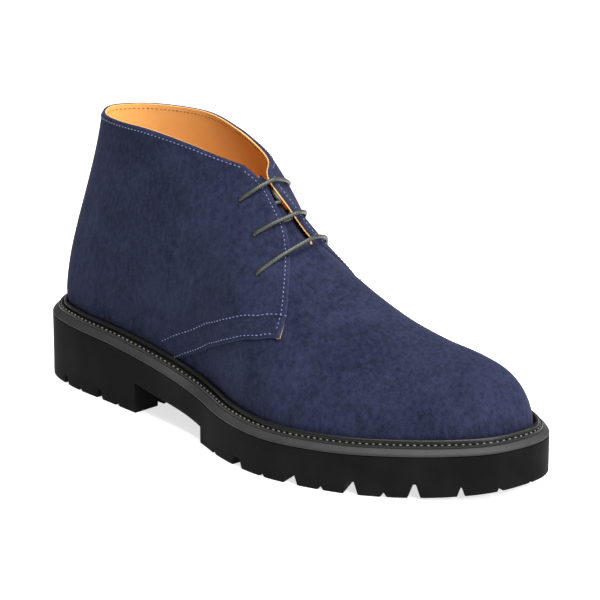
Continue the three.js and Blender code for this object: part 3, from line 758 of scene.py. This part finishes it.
def leather_piece(name, sheet, quads, depths, edge_highlight):
    """Suede outside, lining inside, and both cut edges; the last argument gives each point of the sheet the
    painted highlight along the cut edges.
    """
    points, faces, layer = wall(sheet, quads, depths)
    leathers = [navy_suede, suede_cut, lining_cut, lining_leather]
    return make_piece(name, points, faces, leathers, 60, layer, edge_highlight=np.tile(edge_highlight, len(depths)))


def ease(k):
    """0 to 1 with soft ends."""
    c = np.clip(k, 0, 1)
    return c * c * (3 - 2 * c)


# Suede: a short nap brushed every way, so it is mottled from half a millimetre to a centimetre. Along its
# cut edges it is painted lighter, a painted highlight for the sheen those edges catch.
nap, nap_in, nap_out = new_group(
    "brushed nap", "ShaderNodeTree",
    {"Shade": (0.01, 0.01, 0.03, 1), "Lit": (0.05, 0.05, 0.12, 1), "Tuft Size": 430.0,
     "Fibre Size": 2000.0, "Patch Size": 38.0, "Edge Highlight": 0.0},
    NAP_OUTPUTS,
)
nap_place = add(nap, "ShaderNodeTexCoord").outputs["Object"]
brushed = add(nap, "ShaderNodeMapping",
              {"Vector": nap_place, "Rotation": (0.0, 0.5, 0.2), "Scale": (1.0, 1.0, 0.62)}).outputs[0]
tuft = noise(nap, brushed, nap_in["Tuft Size"], 3.0, Roughness=0.62)
fibre = noise(nap, brushed, nap_in["Fibre Size"], 2.0)
patch = noise(nap, nap_place, nap_in["Patch Size"], 3.0, Distortion=0.6)
fine = sums(nap, "MULTIPLY_ADD", fibre, 0.5, 0.0)
both = sums(nap, "MULTIPLY_ADD", tuft, 0.75, fine)
whole = sums(nap, "MULTIPLY_ADD", patch, 0.55, both)
level = stretch(nap, whole, 0.62, 1.18)
# Painted highlight: the suede's tone is pushed towards the lit colour along the cut edges.
highlighted = sums(nap, "MULTIPLY_ADD", nap_in["Edge Highlight"], 0.45, level, use_clamp=True)
give(nap, nap_out, {"Color": tint(nap, highlighted, nap_in["Shade"], nap_in["Lit"]), "Height": both})


def suede(name, shade, lit, bump_depth):
    material, tree, skin = skinned(
        name, nap, {"Shade": (*shade, 1), "Lit": (*lit, 1)}, 0.7, bump_depth,
        Roughness=0.95, Specular_IOR_Level=0.05,
        Sheen_Weight=0.07, Sheen_Roughness=0.5, Sheen_Tint=(0.45, 0.5, 0.8, 1),
    )
    # This point attribute paints the suede lighter along its cut edges: a painted highlight.
    edge_highlight = add(tree, "ShaderNodeAttribute", attribute_name="edge_highlight", attribute_type="GEOMETRY")
    tree.links.new(edge_highlight.outputs["Fac"], skin.inputs["Edge Highlight"])
    return material


navy_suede = suede("navy suede", (0.0038, 0.005, 0.0115), (0.0195, 0.023, 0.0505), 0.0005)
suede_cut = suede("cut edge of the suede", (0.006, 0.007, 0.017), (0.026, 0.029, 0.06), 0.0003)
lining_leather = tan_leather("tan lining leather", (0.92, 0.52, 0.17), (0.8, 0.4, 0.11))
lining_cut = tan_leather("cut edge of the lining", (0.72, 0.44, 0.16), (0.58, 0.32, 0.1))

# Soft troughs and ridges where the leather gives.
CREASES = [  # side, from x and z, to x and z, half width, push out (a trough is negative)
    (-1, 34, 96, 66, 86, 6.5, -0.5), (-1, 40, 84, 74, 74, 6.0, 0.35), (-1, 84, 98, 118, 84, 6.5, -0.4),
    (-1, 92, 84, 122, 72, 6.0, 0.3), (-1, 60, 122, 98, 116, 7.0, -0.3),
    (-1, 172, 70, 196, 46, 7.0, -0.5), (-1, 188, 74, 212, 44, 7.5, -0.35), (-1, 180, 60, 204, 36, 6.0, 0.35),
    (1, 36, 94, 70, 86, 6.5, -0.5), (1, 86, 96, 118, 82, 6.5, -0.4), (1, 174, 68, 198, 46, 7.0, -0.5),
    (1, 190, 72, 212, 44, 7.5, -0.35), (1, 60, 78, 96, 70, 6.0, 0.3),
]


def crease_push(points, sides):
    push = np.zeros(len(points))
    for side, x0, z0, x1, z1, half, depth in CREASES:
        a = np.array([x0, z0], float)
        run = np.array([x1 - x0, z1 - z0], float)
        q = points[:, [0, 2]] - a
        k = np.clip(q @ run / (run @ run), 0, 1)
        away = np.linalg.norm(q - k[:, None] * run, axis=1)
        push += np.where(sides * side > 0, depth * np.exp(-(away / half) ** 2), 0)
    return push


# -------------------- vamp
# The front of the upper: one piece of navy suede lined with leather, lasted over the toe and up
# to the throat. Its rear edges are tucked and stitched under the quarters.
VAMP_WALL, VAMP_SUEDE = 2.2, 1.1
# The third is how far the painted highlight along the vamp's cut edges reaches, in millimetres.
VAMP_DROP, VAMP_ROLL, VAMP_HIGHLIGHT_REACH = 0.5, 1.4, 1.2
VAMP_REACH, EDGE_BAND = 90, 9
VAMP_BACK = [  # hidden rear edge under the quarter, up to the throat
    (0.235, 0.08), (0.3, 0.25), (0.4, 0.36), (0.5, 0.46), (0.575, 0.6), (0.606, 0.76), (0.63, 0.9),
    (0.652, 1.0),
]
BACK_SHARE = 0.5


def vamp_at(side, u, v):
    rear = along_rows(VAMP_BACK, u / BACK_SHARE)
    throat = VAMP_BACK[-1][0]
    ridge = throat + (1 - throat) * (u - BACK_SHARE) / (1 - BACK_SHARE)
    top_s = np.where(u < BACK_SHARE, rear[..., 0], ridge)
    top_t = np.where(u < BACK_SHARE, rear[..., 1], 1.0)
    foot = VAMP_BACK[0][0] + (1 - VAMP_BACK[0][0]) * u
    return last_surface(side, foot + (top_s - foot) * v, top_t * v)


vamp_us = np.concatenate([np.linspace(0, 0.97, 96), [0.98, 0.988, 0.994, 1.0]])
vamp_vs = np.concatenate([np.linspace(0, 0.985, 50), [0.993, 1.0]])
sheet, quads, labels = two_sided(vamp_at, vamp_us, vamp_vs)
from_rear = np.clip((1 - labels[:, 1]) * VAMP_REACH, 0, EDGE_BAND)
rear_edge = np.where(labels[:, 0] < BACK_SHARE + 0.01, from_rear, EDGE_BAND)
push = crease_push(sheet, labels[:, 2])
vamp_outer = push - VAMP_DROP * (1 - ease(rear_edge / VAMP_ROLL))
depths = [vamp_outer, push - VAMP_SUEDE, push - VAMP_WALL]
# Near its rear and throat edges the vamp's suede is painted lighter: a painted highlight.
vamp = leather_piece("vamp_suede", sheet, quads, depths, np.exp(-rear_edge / VAMP_HIGHLIGHT_REACH))
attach(vamp, "root")
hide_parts("upper")

# -------------------- quarters
# Two lined suede quarters, closed at the back of the heel and stitched down over the vamp. Their
# free front flaps carry three punched holes each. Suede and lining are cut flush at the collar.
FLAPS = {  # front edge, from its lower corner up to the collar
    "lateral": [
        (0.617, 0.383), (0.636, 0.51), (0.639, 0.62), (0.634, 0.72), (0.619, 0.81), (0.59, 0.875),
        (0.54, 0.912), (0.49, 0.94), (0.455, 0.972), (0.425, 1.0),
    ],
    "medial": [
        (0.617, 0.383), (0.638, 0.52), (0.645, 0.64), (0.646, 0.75), (0.642, 0.85), (0.63, 0.92),
        (0.6, 0.962), (0.54, 0.978), (0.475, 1.0),
    ],
}
SEAM = [  # lower edge, from the welt forward to the flap's corner
    (0.257, 0.0), (0.291, 0.108), (0.348, 0.221), (0.434, 0.292), (0.546, 0.325), (0.617, 0.383),
]
SEAM_SHARE = 0.55
QUARTER_PROUD, QUARTER_SUEDE, QUARTER_UNDER, QUARTER_TUCK = 1.3, 0.55, 1.2, 0.5
QUARTER_DROP, QUARTER_ROLL = 0.55, 1.3
QUARTER_LENGTH, FLAP_LENGTH = 150, 120
CORNER_LIFT, CORNER_REACH, FLAP_REACH = 1.3, 6.0, 5.0
BACK_SEAM_DEPTH, BACK_SEAM_WIDTH = 0.45, 0.8
TUCK_RISE, CREASE_FADE = 9, 8
HOLE_RADIUS = 1.55
EYELETS = [  # place of the hole, where its lace bar crosses the flap's edge, bow of the bar
    (0.429, 0.829, 0.5, 0.932, 2.0), (0.503, 0.684, 0.584, 0.895, 3.0), (0.535, 0.551, 0.625, 0.8, 5.0),
]


def quarter_at(side, u, v):
    seam = along_rows(SEAM, (u - 1 + SEAM_SHARE) / SEAM_SHARE)
    on_welt = u < 1 - SEAM_SHARE
    low_s = np.where(on_welt, u / (1 - SEAM_SHARE) * SEAM[0][0], seam[..., 0])
    low_t = np.where(on_welt, 0.0, seam[..., 1])
    front = along_rows(FLAPS[side], v)
    corner_s, corner_t = FLAPS[side][0]
    collar_end = FLAPS[side][-1][0]
    s = low_s + (u * collar_end - low_s) * v
    s += u * (front[..., 0] - (corner_s + (collar_end - corner_s) * v))
    t = low_t + (1 - low_t) * v
    t += u * (front[..., 1] - (corner_t + (1 - corner_t) * v))
    return last_surface(side, s, t)


quarter_us = np.concatenate([np.linspace(0, 0.975, 100), [0.983, 0.989, 0.993, 0.996, 0.998, 1.0]])
quarter_vs = np.concatenate([
    [0, 0.002, 0.005, 0.01, 0.016], np.linspace(0.026, 0.97, 62), [0.98, 0.988, 0.994, 0.998, 1.0],
])
sheet, quads, labels = two_sided(quarter_at, quarter_us, quarter_vs)
free_edge = []
k = np.linspace(0, 1, 400)
for side in SIDES:
    free_edge.append(quarter_at(side, np.ones(400), k))
    free_edge.append(quarter_at(side, 1 - SEAM_SHARE + SEAM_SHARE * k, 0 * k))
    free_edge.append(quarter_at(side, k, np.ones(400)))
free_edge = np.concatenate(free_edge)
tree = kdtree.KDTree(len(free_edge))
for i, p in enumerate(free_edge):
    tree.insert(p, i)
tree.balance()
from_edge = np.array([tree.find(p)[2] for p in sheet])
over_feather = sheet[:, 2] - sole_top(sheet[:, 0]) - FEATHER
proud = QUARTER_TUCK + (QUARTER_PROUD - QUARTER_TUCK) * ease(over_feather / TUCK_RISE)
corners = {SIGN[s]: last_surface(s, *FLAPS[s][0]) for s in SIDES}
from_corner = np.array([np.linalg.norm(p - corners[k]) for p, k in zip(sheet, labels[:, 2])])
lifted = CORNER_LIFT * np.exp(-(from_corner / CORNER_REACH) ** 2)
lifted *= np.exp(-((1 - labels[:, 0]) * FLAP_LENGTH / FLAP_REACH) ** 2)
push = crease_push(sheet, labels[:, 2]) * ease(from_edge / CREASE_FADE)
back_seam = BACK_SEAM_DEPTH * np.exp(-((labels[:, 0] * QUARTER_LENGTH) / BACK_SEAM_WIDTH) ** 2)
outer = proud + push + lifted - back_seam - QUARTER_DROP * (1 - ease(from_edge / QUARTER_ROLL))
depths = [outer, push + lifted - QUARTER_SUEDE, push + lifted - QUARTER_UNDER]
# Within about a millimetre of their free edges the quarters' suede is painted lighter: a painted highlight.
quarters = leather_piece("quarters_suede", sheet, quads, depths, np.exp(-from_edge))

# The holes are struck square through the leather with a round punch.
punches = []
for side in SIDES:
    for s, t, _, _, _ in EYELETS:
        centre = (last_surface(side, s, t) - MIDDLE) / 1000
        bpy.ops.mesh.primitive_cylinder_add(
            vertices=20, radius=HOLE_RADIUS / 1000, depth=0.009, location=centre,
        )
        punch = bpy.context.object
        punch.rotation_euler = Vector(last_normal(side, s, t)).to_track_quat("Z", "Y").to_euler()
        punches.append(punch)
bpy.ops.object.select_all(action="DESELECT")
for punch in punches:
    punch.select_set(True)
bpy.context.view_layer.objects.active = punches[0]
bpy.ops.object.join()
punch = bpy.context.object
cut = quarters.modifiers.new("holes", "BOOLEAN")
cut.operation = "DIFFERENCE"
cut.solver = "EXACT"
cut.object = punch
apply(quarters)
bpy.data.objects.remove(punch)
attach(quarters, "root")
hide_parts("upper")

# -------------------- upper stitches
# Pale lavender lock stitches: one row beside the collar and each flap's front edge, and two rows
# along the lower seam that hold the quarter down on the vamp. Inside the collar the thread is brown.
SEAM_NEAR, SEAM_ROW, SEAM_SECOND = 1.7, 2.5, 11.6
SEAM_LEAD = [(0.228, -0.12)] + SEAM
COLLAR_ROW = 0.981
COLLAR_ROW_ENDS = {"lateral": 0.412, "medial": 0.46}
LINING_ROW, LINING_ROW_END = 0.979, 0.43
CLEAR_OF_WELT = 7.5
STITCH_PITCH, STITCH_LONG, STITCH_THICK = 2.35, 1.45, 0.62


def beside(side, rows, distance, lift, ends):
    """Row of points at a distance inwards from a run of (s, t) places, on top of the suede."""
    st = along_rows(rows, np.linspace(*ends, 160))
    p = last_surface(side, st[:, 0], st[:, 1])
    n = last_normal(side, st[:, 0], st[:, 1])
    ahead = np.gradient(p, axis=0)
    ahead /= np.linalg.norm(ahead, axis=1)[:, None]
    inwards = np.cross(n, ahead) * -SIGN[side]
    return p + inwards * distance + n * lift


navy_thread = thread("lavender thread", (0.13, 0.14, 0.25), (0.07, 0.075, 0.145), Roughness=0.75)
thread_rows = []
on_top = QUARTER_PROUD + 0.08
for side in SIDES:
    thread_rows.append(beside(side, FLAPS[side], SEAM_ROW, on_top, (0.03, 0.95)))
    thread_rows.append(beside(side, SEAM, SEAM_NEAR, QUARTER_PROUD, (0.05, 0.975)))
    second = beside(side, SEAM_LEAD, SEAM_SECOND, on_top, (0.0, 0.985))
    thread_rows.append(second[second[:, 2] > sole_top(second[:, 0]) + CLEAR_OF_WELT])
    collar_s = np.linspace(0.0, COLLAR_ROW_ENDS[side], 140)
    thread_rows.append(on_last(side, collar_s, COLLAR_ROW, on_top))
stitches = sew("upper_stitches", thread_rows, navy_thread, STITCH_PITCH, STITCH_LONG, STITCH_THICK)
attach(stitches, "root")

lining_thread = thread("brown lining thread", (0.36, 0.15, 0.04), (0.2, 0.08, 0.02), Roughness=0.7)
lining_s = np.linspace(0.0, LINING_ROW_END, 140)
lining_rows = [on_last(side, lining_s, LINING_ROW, -(QUARTER_UNDER + 0.02)) for side in SIDES]
lining_stitches = sew("lining_stitches", lining_rows, lining_thread, STITCH_PITCH, 1.5, 0.55)
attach(lining_stitches, "root")

# -------------------- tongue
# A tongue of the same lined suede. It is sewn in at the throat under both flaps and rounds over
# the instep; its upper end stands free behind the top lace bar.
TONGUE_OUTER, TONGUE_SUEDE, TONGUE_INNER = 3.4, 4.4, 5.3
TONGUE_SPAN = [  # rib, lower edge on it, rise past the surface, shift to the back
    (0.71, 0.8, 0, 0), (0.66, 0.76, 0, 0), (0.61, 0.72, 0, 0), (0.56, 0.74, 0, 0),
    (0.5, 0.8, 0, 1), (0.5, 0.86, 3, 3),
]
TONGUE_ROUND = 0.28
TONGUE_RIDGE = 0.16
TONGUE_ROWS, TONGUE_COLUMNS = 60, 49
along, athwart = np.linspace(0, 1, TONGUE_ROWS), np.linspace(-1, 1, TONGUE_COLUMNS)
tongue_u, side_to_side = np.meshgrid(along, athwart, indexing="ij")
span = np.array(TONGUE_SPAN, float)
i, k = between_rows(len(span), tongue_u)
row = span[i] + (span[i + 1] - span[i]) * k
away = np.hypot(side_to_side, TONGUE_ROUND) - TONGUE_ROUND
away /= math.hypot(1, TONGUE_ROUND) - TONGUE_ROUND
t = 1 - (1 - row[..., 1]) * (TONGUE_RIDGE + (1 - TONGUE_RIDGE) * away)
blend = 0.5 + 0.5 * np.tanh(side_to_side / TONGUE_ROUND) / math.tanh(1 / TONGUE_ROUND)
p = last_surface("lateral", row[..., 0], t) * (1 - blend[..., None])
p += last_surface("medial", row[..., 0], t) * blend[..., None]
p[..., 0] -= row[..., 3]
p[..., 2] += row[..., 2]
quads = grid(TONGUE_ROWS, TONGUE_COLUMNS, flip=True)
sheet = p.reshape(-1, 3)
depths = [-TONGUE_OUTER, -TONGUE_SUEDE, -TONGUE_INNER]
tongue = leather_piece("tongue_suede", sheet, quads, depths, np.zeros(len(sheet)))
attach(tongue, "root")
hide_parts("tongue")

# -------------------- lace
# One thin round waxed cord. Three bars cross the throat in the open; under the flaps it climbs
# from bar to bar over the tongue, and both ends stop inside at the top holes.
LACE_RADIUS = 1.12
LACE_SIDES = 14
LACE_STEP = 0.7
BRAID_PITCH, BRAID_STRANDS = 7.0, 6.0
GAP = 0.3
CROSSINGS = [0.595, 0.555]
UNDER_FLAP = -2.5
BAR_ARCH = 1.2


def lace_bar(eyelet):
    """Run of one bar: up from the hole, over the flap's edge, across, and down again."""
    s, t, edge_s, edge_t, bow = eyelet
    lift = QUARTER_PROUD + LACE_RADIUS + 2.5 * GAP
    near, far = [], []
    for half, side in ((near, "lateral"), (far, "medial")):
        hole = on_last(side, s, t, 1.2)
        lip = on_last(side, edge_s, edge_t, lift)
        up = last_normal(side, (s + edge_s) / 2, (t + edge_t) / 2)
        for k in (0.0, 0.3, 0.65, 1.0):
            half.append(hole + (lip - hole) * k + up * BAR_ARCH * 4 * k * (1 - k))
    out = near[3] + far[3] - near[1] - far[1]
    out[1] = 0
    middle = (near[3] + far[3]) / 2 + out / np.linalg.norm(out) * bow
    return near + [middle] + far[::-1]


def crossing(low, high, over, from_side, to_side):
    """Hidden run from one hole, over the tongue, to the next hole on the other side."""
    shares = (0, 0.35, 0.7, 0.9)
    run = []
    for side, eyelet, steps in ((from_side, low, shares), (to_side, high, shares[::-1])):
        s, t = EYELETS[eyelet][:2]
        for k in steps:
            run.append(on_last(side, s + (over - s) * k, t + (1 - t) * k, UNDER_FLAP))
    return run


def inside(side, eyelet, ds, dt, deeper):
    """Place under the flap, beside a hole."""
    s, t = EYELETS[eyelet][:2]
    return on_last(side, s + ds, t + dt, UNDER_FLAP - deeper)


# The cord starts inside at the medial top hole, goes down under the flap to the lowest bar, and
# ends inside at the lateral top hole.
route = [
    inside("medial", 0, -0.02, -0.02, 0.3), inside("medial", 1, -0.03, -0.02, 0.6),
    inside("medial", 2, -0.004, 0.02, 0.3), *lace_bar(EYELETS[2])[::-1],
    *crossing(2, 1, CROSSINGS[0], "lateral", "medial"), *lace_bar(EYELETS[1])[::-1],
    *crossing(1, 0, CROSSINGS[1], "lateral", "medial"), *lace_bar(EYELETS[0])[::-1],
    inside("lateral", 0, 0, 0, 0), inside("lateral", 0, -0.02, -0.03, 0.6),
]


def open_path(rows, spacing):
    """Smooth path through the rows in even steps, and the length up to each."""
    ends = [2 * rows[0] - rows[1], *rows, 2 * rows[-1] - rows[-2]]
    smooth = round_outline(ends, 24)[24:-48]
    run = np.concatenate([[0], np.cumsum(np.linalg.norm(np.diff(smooth, axis=0), axis=1))])
    at = np.linspace(0, run[-1], int(run[-1] / spacing) + 1)
    return np.stack([np.interp(at, run, smooth[:, i]) for i in range(3)], 1), at


path, run = open_path(np.array(route), LACE_STEP)
heading = np.gradient(path, axis=0)
heading /= np.linalg.norm(heading, axis=1)[:, None]
aside = np.zeros_like(path)
aside[0] = np.cross(heading[0], (0, 0, 1.0))
for k in range(1, len(path)):
    aside[k] = aside[k - 1] - heading[k] * (aside[k - 1] @ heading[k])
    aside[k] /= np.linalg.norm(aside[k])
across_too = np.cross(heading, aside)
turn = np.linspace(0, 2 * np.pi, LACE_SIDES + 1)
rings = [path + LACE_RADIUS * (aside * math.cos(a) + across_too * math.sin(a)) for a in turn]
points = np.stack(rings, 1).reshape(-1, 3)
uv = np.stack(np.meshgrid(run / 10, turn / (2 * np.pi), indexing="ij"), -1).reshape(-1, 2)
faces = grid(len(path), LACE_SIDES + 1, flip=True)
last_turn = (len(path) - 1) * (LACE_SIDES + 1)
faces += [tuple(range(LACE_SIDES - 1, -1, -1)), tuple(last_turn + j for j in range(LACE_SIDES))]

cord, cord_tree, cord_shader = new_material("waxed olive black cord", Roughness=0.42)
cord_uv = add(cord_tree, "ShaderNodeUVMap", uv_map="path").outputs[0]
parts = add(cord_tree, "ShaderNodeSeparateXYZ", {0: cord_uv})
twists = []
for lean in (1.0, -1.0):
    round_it, along_it = BRAID_STRANDS * lean * 2 * math.pi, BRAID_PITCH * 2 * math.pi
    around = sums(cord_tree, "MULTIPLY", parts.outputs["Y"], round_it)
    ahead = sums(cord_tree, "MULTIPLY_ADD", parts.outputs["X"], along_it, around)
    twists.append(sums(cord_tree, "SINE", ahead))
strand = stretch(cord_tree, sums(cord_tree, "MAXIMUM", *twists), -0.4, 1.0)
cord_tone = tint(cord_tree, strand, (0.007, 0.0075, 0.006, 1), (0.026, 0.028, 0.0215, 1))
wear(cord_tree, cord_shader, cord_tone, strand, 0.5, 0.0001)
lace = make_piece("lace_cord", points, faces, [cord], 60, uv=uv)
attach(lace, "root")
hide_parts("lace_bar_1", "lace_bar_2", "lace_bar_3")

# -------------------- floor, light and camera
# A wide sheet of white studio paper that glows faintly, so that it stays white to the horizon. A
# broad soft light hangs overhead, with a small one behind the toe and one on the toe's side.
FLOOR_SIZE = 60
PAPER_WHITE, PAPER_LIGHTER = (0.62, 0.62, 0.62, 1), (0.64, 0.64, 0.64, 1)
PAPER_GLOW = 0.7
AIR_LIGHT = 0.25
WHITE = (1.0, 1.0, 1.0, 1)
bpy.ops.mesh.primitive_plane_add(size=FLOOR_SIZE, location=(0, 0, 0))
floor = bpy.context.object
floor.name = "studio_floor"
paper, paper_tree, paper_shader = new_material("white studio paper", Roughness=0.9)
paper_noise = add(paper_tree, "ShaderNodeTexNoise", {"Scale": 3.0, "Detail": 2.0}).outputs["Fac"]
paper_tone = tint(paper_tree, paper_noise, PAPER_WHITE, PAPER_LIGHTER)
paper_tree.links.new(paper_tone, paper_shader.inputs["Base Color"])
paper_shader.inputs["Emission Color"].default_value = WHITE
paper_shader.inputs["Emission Strength"].default_value = PAPER_GLOW
floor.data.materials.append(paper)

world = bpy.data.worlds.new("studio air")
bpy.context.scene.world = world
world.use_nodes = True
air = world.node_tree.nodes["Background"].inputs
air["Color"].default_value = WHITE
air["Strength"].default_value = AIR_LIGHT

LIGHTS = [  # name, place, aimed at, size, watts
    ("overhead", (0.35, -0.1, 1.5), (0.0, 0.0, 0.05), 1.1, 48.0),
    ("behind_toe", (0.9, 0.75, 0.75), (0.08, 0.0, 0.06), 0.7, 9.0),
    ("toe_side", (1.3, -0.35, 0.7), (0.1, 0.0, 0.03), 0.6, 15.0),
]


def stand(thing, place, aim):
    """Sets up a light or the camera and turns it to its aim."""
    thing.location = place
    thing.rotation_euler = (Vector(aim) - Vector(place)).to_track_quat("-Z", "Y").to_euler()
    bpy.context.scene.collection.objects.link(thing)


for name, place, aim, width, watts in LIGHTS:
    lamp = bpy.data.lights.new(name, "AREA")
    lamp.shape = "DISK"
    lamp.size = width
    lamp.energy = watts
    stand(bpy.data.objects.new(name, lamp), place, aim)

CAMERA_AT = (0.97272, -1.06125, 0.56459)
CAMERA_AIM = (0.05966, -0.05263, 0.09278)
FOCAL = 184.0
camera = bpy.data.objects.new("camera", bpy.data.cameras.new("camera"))
camera.data.sensor_width = 36.0
camera.data.lens = FOCAL
stand(camera, CAMERA_AT, CAMERA_AIM)
bpy.context.scene.camera = camera
bpy.context.scene.view_settings.view_transform = "Standard"
